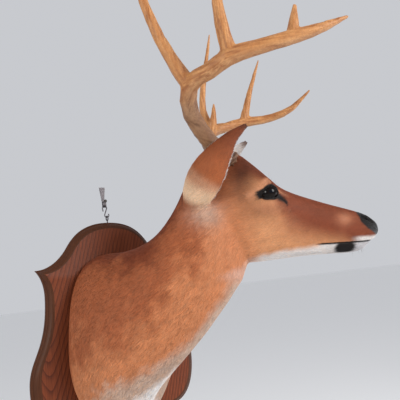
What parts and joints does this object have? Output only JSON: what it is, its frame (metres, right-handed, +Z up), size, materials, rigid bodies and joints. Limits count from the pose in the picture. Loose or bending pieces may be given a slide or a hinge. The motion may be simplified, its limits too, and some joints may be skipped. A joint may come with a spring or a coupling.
{
  "type": "deer shoulder mount",
  "caption": "White-tailed buck shoulder mount, head turned to its left, on a shield-shaped oak plaque with a screw eye, wire hook and wall hanger.",
  "frame": {"origin": "centre of the plaque's flat back face, where it lies on the wall", "axes": "+X to the deer's left, +Y into the wall, +Z up"},
  "size_m": [0.5979, 0.5657, 0.9108],
  "materials": {
    "coat": "short reddish-brown deer hair lying flat",
    "chin_hair": "short white hair",
    "nose_pad": "dark pebbled nose leather",
    "eye_glass": "dark brown glass eye, polished",
    "antler": "hard antler, orange-tan and grained, darker at its foot",
    "oak_board": "stained oak with a satin varnish",
    "steel_wire": "plain galvanised steel",
    "nail": "blackened nail"
  },
  "bodies": {
    "root": {"plaque": "oak_board", "shoulder": "coat", "neck": "coat", "head": "coat", "lower_jaw": "chin_hair", "nose": "nose_pad", "ear_left": "coat", "ear_right": "coat", "eye_left": "eye_glass", "eye_right": "eye_glass", "antler_right_beam_base": "antler", "antler_right_beam_middle": "antler", "antler_right_beam_tip": "antler", "antler_right_g2": "antler", "antler_right_g3": "antler", "antler_right_g4": "antler", "antler_left_beam_base": "antler", "antler_left_beam_middle": "antler", "antler_left_beam_tip": "antler", "antler_left_g1": "antler", "antler_left_g2": "antler", "antler_left_g3": "antler", "screw_eye": "steel_wire", "wire_hook": "steel_wire", "hanger_plate": "steel_wire", "hanger_nail": "nail"}
  },
  "joints": []
}
